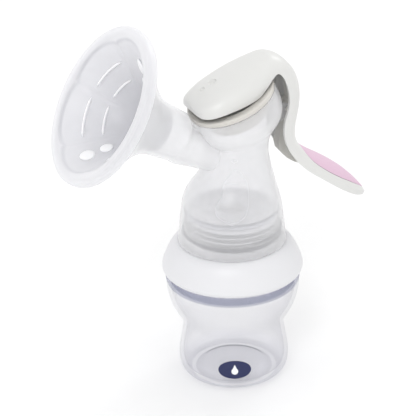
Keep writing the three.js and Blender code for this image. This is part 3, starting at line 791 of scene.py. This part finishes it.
def smooth_stations(rows, steps):
    """Catmull-Rom through rows of numbers."""
    out = []
    for i in range(len(rows) - 1):
        p0 = rows[max(i - 1, 0)]
        p1, p2 = rows[i], rows[i + 1]
        p3 = rows[min(i + 2, len(rows) - 1)]
        for k in range(steps):
            t = k / steps
            out.append([0.5 * (2 * b + (c - a) * t + (2 * a - 5 * b + 4 * c - d) * t * t
                               + (3 * b - a - 3 * c + d) * t ** 3)
                        for a, b, c, d in zip(p0, p1, p2, p3)])
    out.append(list(rows[-1]))
    return out


def pump_rings(inset, lowest, sides=FINE):
    rows = [list(s) for s in body_stations]
    for w, r in bowl_stations:
        centre = HEAD.at(0, 0, w)
        rows.append([centre.x, centre.z, math.degrees(HEAD_TILT), r])
    rings = []
    for x, z, lean, r in smooth_stations(rows, 5):
        if z < lowest:
            continue
        a = math.radians(lean)
        place = Place(x, z, (math.cos(a), math.sin(a)), (-math.sin(a), math.cos(a)))
        rings.append(circle(place, r - inset, 0, sides))
    for w, r in ((-1.2, BOWL_LIP_R), (0.4, BOWL_LIP_R), (0.6, BOWL_LIP_R - 0.2)):
        rings.append(circle(HEAD, r - inset, w, sides))
    return rings


def neck_passage(name, inset, start, sides=96):
    rows = [[start, 0, 12.9], [43.5, 0, 12.6], [45.5, 0.2, 12.1], [49.0, 2.3, 10.6],
            [53.0, 2.2, 10.2], [60.0, 1.6, 9.6], [77.0, 0, 9.0]]
    rings = []
    for w, drop, r in smooth_stations(rows, 5):
        rings.append([FUNNEL.at(drop + (r - inset) * math.cos(2 * math.pi * i / sides),
                                (r - inset) * math.sin(2 * math.pi * i / sides), w)
                      for i in range(sides)])
    return skin(name, rings)


pump = skin("pump_shell", pump_rings(0, 0))
funnel_outside = turned("tool", [
    (38.0, 0.0), (38.5, 0.5), (38.5, 3.4), (36.6, 5.4), (31.6, 9.4), (26.4, 13.8), (21.0, 19.0),
    (16.6, 24.6), (14.0, 30.4), (12.9, 40.0)], FUNNEL)
lug_shape = [(PIVOT[0] + u, PIVOT[1] + w) for u, w in (
    (-12.5, -7.0), (-3.5, -5.6), (-0.5, -2.8), (1.8, -2.1), (2.8, 0), (1.8, 2.1), (-0.5, 2.8),
    (-12.5, 6.0))]
lugs = [plate("tool", UPRIGHT, lug_shape, y0, y1, 0.35) for y0, y1 in ((3.5, 5.3), (-5.3, -3.5))]
add(pump, funnel_outside, neck_passage("tool", 0, 39.0), *lugs)

chamber_rings = [circle(UPRIGHT, 25.2 - WALL, FLOOR_Z + FLOOR_T)] + pump_rings(WALL, FLOOR_Z + 2.4)
chamber_rings.append(circle(HEAD, BOWL_LIP_R - WALL, 2.0))
chamber = skin("tool", chamber_rings)
skirt_bore = turned("tool", [(24.9, 72.9), (24.8, 74.3), (24.4, 74.8), (23.9, FLOOR_Z)], steps=1)
funnel_inside = turned("tool", [
    (37.0, -1.0), (37.0, 2.4), (34.9, 4.4), (30.0, 8.4), (24.8, 12.8), (19.4, 18.2), (15.1, 24.0),
    (12.5, 30.2), (11.4, 40.2)], FUNNEL)
pin_bore = plate("tool", UPRIGHT, disc(*PIVOT, 1.8), -20, 20, 0)
cut(pump, chamber, skirt_bore, funnel_inside, neck_passage("tool", WALL, 40.0), pin_bore)

floor_plate = turned("tool", [(25.0, FLOOR_Z), (25.0, FLOOR_Z + FLOOR_T)], steps=1)
spigot = turned("tool", [(5.9, 80.6), (6.2, 81.0), (6.2, FLOOR_Z + 0.5)], steps=1, sides=64)
spigot_bore = turned("tool", [(4.6, 79), (4.6, 92.6), (6.5, 94)], steps=1, sides=64)
add(floor_plate, spigot)
cut(floor_plate, spigot_bore)
add(pump, floor_plate)
finish_piece(pump, "milky", "pump", "pump_body")
# the thread's darker look is painted shade seen through the milky skirt
thread("skirt_thread", "skirt_thread_shade", "pump", SKIRT_BORE_R - 0.05, PUMP_PITCH, 1.25, 77.6, 0.8)

hinge_pin = plate("hinge_pin_rod", UPRIGHT, disc(*PIVOT, 1.5), -6.4, 6.4, 0.3)
finish_piece(hinge_pin, "pin", "pump", "hinge_pin")

# ---------------------------------------------------------------- massage cushion
LOBES = 6
LOBE_TURN = math.radians(30)     # a notch between two lobes lies at this turn
cushion_profile = [
    (39.2, -1.5), (40.2, -0.6), (40.4, 1.2), (39.9, 3.4), (39.0, 4.0), (38.8, 3.2), (38.8, 0.4),
    (38.2, -0.3), (36.7, -0.3), (36.7, 2.2), (34.5, 4.2), (29.6, 8.2), (24.4, 12.5), (19.0, 17.9),
    (14.7, 23.8), (12.1, 30.1), (11.5, 34.0), (10.2, 34.2), (10.5, 29.6), (12.9, 22.8),
    (17.0, 16.4), (22.4, 10.4), (26.8, 6.4), (29.8, 3.4), (31.8, 1.2), (34.0, -0.6), (36.6, -1.6),
]
CUSHION_SIDES = 240


def smoothstep(low, high, value):
    t = max(0.0, min(1.0, (value - low) / (high - low)))
    return t * t * (3 - 2 * t)


def lobe_edge(angle):
    """Radius where the greyer cup begins: it bulges at each lobe and dips at each notch."""
    swing = abs(math.cos(LOBES / 2 * (angle - LOBE_TURN) + math.pi / 2))
    return 32.4 + 1.7 * swing ** 0.7


fine_profile = refined(cushion_profile, True, 5, corner_mm=0.3)
cushion_points = []
cushion_tone_and_shade = []
cushion_step_shade = []
for q in fine_profile:
    r, w = q.x, q.y
    cone = 35.4 - 1.413 * (r - 10.2)        # midway between the cup's two faces
    front = (w < cone and r < 37.5) or w < -0.4
    for i in range(CUSHION_SIDES):
        angle = 2 * math.pi * i / CUSHION_SIDES
        edge = lobe_edge(angle)
        into = smoothstep(edge + 0.7, edge - 0.7, r) if front else 0.0
        notch = abs(math.sin(LOBES / 2 * (angle - LOBE_TURN)))
        groove = math.exp(-((notch / 0.16) ** 2)) * smoothstep(13, 18, r) * smoothstep(34, 30, r)
        sink = 0.6 * into + (0.5 * groove if front else 0.0)
        cushion_points.append(FUNNEL.at(r * math.cos(angle), r * math.sin(angle), w + sink))
        # painted shade: the cup greys further the deeper it runs into the funnel, on top of its own
        # greyer silicone
        depth_shade = smoothstep(34.0, 12.0, r)
        cushion_tone_and_shade.append(into * (0.35 + 0.65 * depth_shade))
        # painted shade along the step where the cup sinks below the rim
        near_edge = math.exp(-(((r - edge) / 0.55) ** 2)) if front else 0.0
        cushion_step_shade.append(0.35 * near_edge)
rows = len(fine_profile)
cushion_faces = []
for i in range(rows):
    a = i * CUSHION_SIDES
    b = (i + 1) % rows * CUSHION_SIDES
    for j in range(CUSHION_SIDES):
        k = (j + 1) % CUSHION_SIDES
        cushion_faces.append((a + j, a + k, b + k, b + j))
cushion = mesh_object("cushion_skin", cushion_points, face_out(cushion_points, cushion_faces), 50)
# vertex attributes: the cup's grey with painted shade, and painted shade along the sunken edge
for label, values in (("cup_tone_and_shade", cushion_tone_and_shade), ("line", cushion_step_shade)):
    attribute = cushion.data.attributes.new(label, "FLOAT", "POINT")
    attribute.data.foreach_set("value", values)
finish_piece(cushion, "cushion", "pump", "massage_cushion")


def cup_height(r):
    """Distance along the funnel axis of the cup's inner face at radius r."""
    inner = [(10.5, 29.6), (12.9, 22.8), (17.0, 16.4), (22.4, 10.4), (26.8, 6.4), (29.8, 3.4)]
    for (r0, w0), (r1, w1) in zip(inner, inner[1:]):
        if r <= r1:
            return w0 + (w1 - w0) * (r - r0) / (r1 - r0)
    return inner[-1][1]


SIXTH = math.pi / 3
for label, radius, first in (("outer_a", 25.6, 1), ("inner_a", 18.6, 1), ("outer_b", 25.6, 4),
                             ("inner_b", 18.6, 4)):
    ribs = ARCS.run("cushion_arcs_" + label, {
        "Radius": radius * MM, "Height": (cup_height(radius) + 0.1) * MM,
        "Sweep": math.radians(47), "First": first * SIXTH, "Step": SIXTH, "Count": 2,
        "Bead Radius": 0.62 * MM, "Material": LOOKS["rib"],
    }, FUNNEL)
    finish_piece(ribs, "rib", "pump")
for label, radius, size in (("outer", 25.6, 3.9), ("inner", 18.6, 3.3)):
    knobs = BUMPS.run("cushion_bumps_" + label, {
        "Radius": radius * MM, "Height": (cup_height(radius) + 0.1) * MM, "First": 0.12,
        "Step": math.pi, "Count": 2, "Bump Radius": size * MM, "Rise": 0.8 * MM,
        "Lean": math.radians(46), "Material": LOOKS["rib"],
    }, FUNNEL)
    finish_piece(knobs, "rib", "pump")

# ---------------------------------------------------------------- diaphragm, stem and valve
diaphragm = turned("diaphragm_skin", [
    (2.4, -7.8), (8.9, -7.8), (10.0, -9.3), (11.4, -12.0), (13.2, -13.0), (15.1, -11.8),
    (15.8, -9.4), (15.8, -2.0), (16.6, -1.0), (18.6, -0.4), (19.2, 0.3), (19.6, 0.9),
    (BOWL_LIP_R, 0.9), (BOWL_LIP_R + GAP, 0.6), (BOWL_LIP_R + GAP, -0.9), (22.4, -0.9),
    (HEAD_R, 0.9), (21.9, 1.4), (20.2, 1.1), (18.2, 0.5), (16.0, 0.2), (14.9, -0.6),
    (14.6, -2.0), (14.6, -9.4), (14.0, -10.8), (13.1, -11.4), (12.3, -10.8), (11.2, -8.4),
    (9.4, -6.5), (2.4, -6.5),
], HEAD, closed=True, corner_mm=0.2)
dress(diaphragm, "diaphragm")
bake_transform(diaphragm)
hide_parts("diaphragm")

stem = turned("stem_yoke", [
    (3.2, -9.8), (4.2, -9.4), (4.2, -8.1), (2.0, -8.0), (2.0, -6.3), (8.0, -6.2), (8.4, -5.6),
    (8.0, -4.8), (4.0, -4.6), (3.2, -4.0), (3.0, 0.0)], HEAD, sides=72, steps=2)
arm_shape = [(-3.1, -1.2), (3.1, -1.2), (3.1, 5.0), (2.3, 7.2), (0, 8.1), (-2.3, 7.2), (-3.1, 5.0)]
arms = [plate("tool", HEAD, arm_shape, y0, y1) for y0, y1 in ((3.4, 5.4), (-5.4, -3.4))]
yoke = plate("tool", HEAD, [(-3.1, -1.9), (3.1, -1.9), (3.1, -0.2), (-3.1, -0.2)], -5.4, 5.4)
add(stem, yoke, *arms)
cut(stem, plate("tool", HEAD, disc(0, LINK_HEIGHT, 1.6), -20, 20, 0))
finish_piece(stem, "stem", "stem", "diaphragm_stem")
stem_pin = plate("stem_pin_rod", HEAD, disc(0, LINK_HEIGHT, 1.3), -6.1, 6.1)
finish_piece(stem_pin, "pin", "stem", "stem_pin")


def valve_rings(rows, sides=96):
    return [[Vector((r * squeeze * math.cos(2 * math.pi * i / sides),
                     r * math.sin(2 * math.pi * i / sides), z)) for i in range(sides)]
            for r, squeeze, z in smooth_stations(rows, 3)]


valve = skin("valve_skin", valve_rings([
    [8.2, 1, 89.6], [8.9, 1, 89.2], [8.9, 1, 88.0], [7.9, 1, 87.4], [7.9, 1, 80.0],
    [7.7, 0.8, 76.0], [7.6, 0.45, 71.0], [7.6, 0.2, 67.4]]))
cut(valve, skin("tool", valve_rings([
    [6.5, 1, 90.5], [6.5, 1, 80.2], [6.4, 0.76, 76.0], [6.4, 0.34, 71.0], [6.4, 0.06, 67.0]])))
finish_piece(valve, "valve", "valve", "duckbill_valve")

# ---------------------------------------------------------------- handle
# crest x, crest z, edge x, edge z, half width
handle_stations = [
    (-22.1, 149.9, -21.9, 148.9, 1.6), (-22.4, 151.3, -21.7, 148.2, 5.2),
    (-21.8, 152.6, -21.0, 147.6, 8.4), (-20.0, 154.1, -19.8, 147.2, 11.2),
    (-16.6, 156.3, -17.0, 147.3, 13.6), (-11.4, 159.2, -12.6, 148.4, 15.6),
    (-5.7, 161.9, -7.2, 149.8, 16.5), (0.2, 164.5, -1.4, 151.3, 16.9),
    (6.0, 166.8, 4.2, 152.9, 16.6), (11.3, 168.7, 9.0, 154.5, 15.6),
    (15.3, 170.0, 12.2, 156.3, 14.2), (19.0, 170.8, 15.5, 158.9, 12.8),
    (22.5, 170.1, 18.3, 161.3, 11.6), (26.3, 168.1, 20.9, 162.7, 10.9),
    (30.0, 164.7, 23.4, 161.0, 10.5), (33.3, 160.2, 25.6, 157.0, 10.3),
    (35.5, 154.4, 27.1, 151.8, 10.2), (36.3, 148.2, 27.6, 146.8, 10.2),
    (36.0, 141.8, 26.8, 141.3, 10.2), (34.8, 135.6, 25.1, 136.3, 10.4),
    (33.6, 129.6, 24.4, 130.4, 10.8), (33.7, 124.6, 25.5, 124.2, 11.0),
    (35.6, 120.0, 28.4, 118.0, 11.1), (38.9, 116.4, 32.5, 112.2, 11.3),
    (43.4, 113.0, 37.6, 107.0, 11.5), (49.6, 109.0, 44.0, 102.0, 11.6),
    (56.0, 104.4, 50.2, 97.3, 11.3), (62.2, 99.2, 56.2, 92.8, 10.6),
    (67.4, 93.9, 61.8, 88.9, 9.2), (71.0, 89.6, 66.2, 86.2, 7.4),
    (73.4, 86.4, 69.7, 84.4, 5.2), (74.6, 84.3, 72.4, 83.0, 2.8),
]
LAST = len(handle_stations) - 1


def centripetal(points, t):
    """A point of the centripetal Catmull-Rom curve through points, t from 0 to 1."""
    n = len(points) - 1
    i = min(int(t * n), n - 1)
    f = t * n - i
    p1, p2 = points[i], points[i + 1]
    p0 = points[i - 1] if i > 0 else p1 * 2 - p2
    p3 = points[i + 2] if i + 2 <= n else p2 * 2 - p1
    d0 = max((p1 - p0).length ** 0.5, 1e-4)
    d1 = max((p2 - p1).length ** 0.5, 1e-4)
    d2 = max((p3 - p2).length ** 0.5, 1e-4)
    m1 = ((p1 - p0) / d0 - (p2 - p0) / (d0 + d1) + (p2 - p1) / d1) * d1
    m2 = ((p2 - p1) / d1 - (p3 - p1) / (d1 + d2) + (p3 - p2) / d2) * d1
    return (p1 + m1 * f + (p2 * 3 - p1 * 3 - m1 * 2 - m2) * f * f
            + (p1 * 2 - p2 * 2 + m1 + m2) * f ** 3)


crest_points = [Vector((x, 0, z)) for x, z, _, _, _ in handle_stations]
edge_points = [Vector((x, b, z)) for _, _, x, z, b in handle_stations]


def rounded(v):
    return math.copysign(abs(v) ** 0.86, v)


def handle_point(s, angle, inset):
    crest = centripetal(crest_points, s / LAST)
    edge = centripetal(edge_points, s / LAST)
    up = Vector((crest.x - edge.x, 0, crest.z - edge.z))
    height = up.length - inset
    p = Vector((edge.x, 0, edge.z)) + up.normalized() * (height * rounded(math.cos(angle)))
    p.y = (edge.y - inset) * rounded(math.sin(angle))
    return p


def handle_solid(name, start, stop, steps, inset, below, arc=64):
    rings = []
    for i in range(steps + 1):
        s = start + (stop - start) * i / steps
        ring = [handle_point(s, math.pi * (j / arc - 0.5), inset) for j in range(arc + 1)]
        if below:
            crest = centripetal(crest_points, s / LAST)
            edge = centripetal(edge_points, s / LAST)
            down = Vector((edge.x - crest.x, 0, edge.z - crest.z)).normalized() * below
            ring += [ring[-1] + down, ring[0] + down]
        rings.append(ring)
    return skin(name, rings)


def grip_layer(name, grow, outer, inner, steps=64, across=32, edge_drop=0.0):
    start, stop = 22.3, 30.2
    rings = []
    for i in range(steps + 1):
        part = i / steps
        s = start - grow * 0.12 + (stop - start + grow * 0.24) * part
        leaf = math.sin(math.pi * part ** 0.8) ** 0.75
        half = 0.05 + grow * 0.03 + math.radians(58) * leaf
        turns = [half * (2 * j / across - 1) for j in range(across + 1)]
        end = edge_drop * smoothstep(0.06, 0.0, min(part, 1 - part))
        ring = []
        for j, angle in enumerate(turns):
            side = edge_drop * smoothstep(0.12, 0.0, min(j, across - j) / across)
            ring.append(handle_point(s, angle, -outer + max(side, end)))
        rings.append(ring + [handle_point(s, angle, inner) for angle in reversed(turns)])
    return skin(name, rings, smooth_deg=50)


CAP_SLOPE = math.radians(28.0)
MARK_DEEP = 1.0
CAP_MARKS = ((-14.6, 157.45, 1.9), (-9.0, 160.35, 2.6))      # x, z, radius

handle = handle_solid("handle_skin", 0, LAST, 260, 0, 0)
cut(handle, handle_solid("tool", 1.4, LAST - 1.4, 220, HANDLE_WALL, 4),
    grip_layer("tool", 1, 3, 1.0))
for x, z, size in CAP_MARKS:
    mark = Place(x, z, (math.cos(CAP_SLOPE), math.sin(CAP_SLOPE)),
                 (-math.sin(CAP_SLOPE), math.cos(CAP_SLOPE)))
    cut(handle, turned("tool", [(0, -MARK_DEEP), (size * 0.7, -MARK_DEEP * 0.7), (size, 1.5),
                                (0, 1.5)], mark, steps=1))
finish_piece(handle, "handle", "handle", "handle_shell")
grip = grip_layer("grip_pad", 0, 0.15, 0.7, edge_drop=0.3)
finish_piece(grip, "grip", "handle", "grip_insert")


def frame_point(s, inset):
    crest = centripetal(crest_points, s / LAST)
    edge = centripetal(edge_points, s / LAST)
    p = crest + Vector((edge.x - crest.x, 0, edge.z - crest.z)).normalized() * inset
    return (p.x, p.z)


def head_point(u, w):
    p = HEAD.at(u, 0, w)
    return (p.x, p.z)


outline = [frame_point(4.9 + 0.5 * i, HANDLE_WALL + 0.9) for i in range(39)]
outline += [(38.2, 107.6), (33.8, 109.6), (29.8, 112.5), (25.5, 117.8), (24.7, 121.5),
            (26.4, 127.5)]
outline += [frame_point(19.4 - 0.5 * i, HANDLE_WALL + 3.6) for i in range(13)]
outline += [head_point(21.0, 7.6), head_point(15.0, 3.4), head_point(11.0, 1.3),
            head_point(-11.6, 1.3)]
inner_frame = plate("frame_plate", UPRIGHT, outline, -3.0, 3.0, 0.25)
eye_arm = [(PIVOT[0], PIVOT[1] - 3.0), (PIVOT[0] + 2.6, PIVOT[1] - 4.2),
           (PIVOT[0] + 3.0, PIVOT[1] + 4.8), (PIVOT[0], PIVOT[1] + 3.0)]
add(inner_frame, plate("tool", UPRIGHT, eye_arm, -3.0, 3.0, 0.25),
    plate("tool", UPRIGHT, disc(*PIVOT, 3.0), -3.0, 3.0, 0.25))
cut(inner_frame, plate("tool", UPRIGHT, disc(*PIVOT, 1.8), -20, 20, 0),
    plate("tool", HEAD, slot_outline(-7.8, 0.6, LINK_HEIGHT, 1.75), -20, 20, 0))
# the frame's darker warm colour is painted shade inside the handle's channel
finish_piece(inner_frame, "frame", "handle", "handle_frame")

# ---------------------------------------------------------------- floor, light and camera
floor_material, floor_tree, _, floor_out = new_material("pale_floor")
floor_shader, _ = coat_shader(floor_tree, (0.93, 0.93, 0.93), 0.9, 60.0, 0.0)
floor_tree.links.new(floor_shader.outputs["BSDF"], floor_out.inputs["Surface"])
floor_mesh = bpy.data.meshes.new("floor")
half = 4.0
floor_mesh.from_pydata([(-half, -half, 0), (half, -half, 0), (half, half, 0), (-half, half, 0)], [],
                       [(0, 1, 2, 3)])
floor = bpy.data.objects.new("floor", floor_mesh)
floor.data.materials.append(floor_material)
floor.location.z = -0.0002
bpy.context.scene.collection.objects.link(floor)

world = bpy.data.worlds.new("studio")
bpy.context.scene.world = world
world.use_nodes = True
world.node_tree.nodes["Background"].inputs["Color"].default_value = (1.0, 1.0, 1.0, 1)
world.node_tree.nodes["Background"].inputs["Strength"].default_value = 1.0


def soft_light(name, location, target, size, power):
    light = bpy.data.lights.new(name, "AREA")
    light.shape = "DISK"
    light.size = size
    light.energy = power
    obj = bpy.data.objects.new(name, light)
    obj.location = location
    obj.rotation_mode = "QUATERNION"
    obj.rotation_quaternion = (Vector(target) - Vector(location)).to_track_quat("-Z", "Y")
    bpy.context.scene.collection.objects.link(obj)


soft_light("key", (-0.7, -0.9, 1.1), (0, 0, 0.1), 0.5, 5.0)
soft_light("rim", (0.9, 0.5, 0.9), (0, 0, 0.12), 0.4, 2.0)

AZIMUTH = math.radians(-24.0)
ELEVATION = math.radians(26.5)
ROLL = math.radians(-1.2)
TARGET = Vector((-0.01078, 0.00480, 0.09031))
DISTANCE = 1.100
LENS_MM = 190.4
SENSOR_MM = 36.0
back = Vector((math.sin(AZIMUTH) * math.cos(ELEVATION), -math.cos(AZIMUTH) * math.cos(ELEVATION),
               math.sin(ELEVATION)))
right = Vector((math.cos(AZIMUTH), math.sin(AZIMUTH), 0))
up = back.cross(right)
rolled_right = right * math.cos(ROLL) + up * math.sin(ROLL)
rolled_up = up * math.cos(ROLL) - right * math.sin(ROLL)
camera_data = bpy.data.cameras.new("camera")
camera_data.lens = LENS_MM
camera_data.sensor_width = SENSOR_MM
camera = bpy.data.objects.new("camera", camera_data)
view = Matrix.Identity(4)
for row in range(3):
    view[row][0] = rolled_right[row]
    view[row][1] = rolled_up[row]
    view[row][2] = back[row]
    view[row][3] = (TARGET + back * DISTANCE)[row]
camera.matrix_world = view
bpy.context.scene.collection.objects.link(camera)
bpy.context.scene.camera = camera
bpy.context.scene.view_settings.view_transform = "Standard"
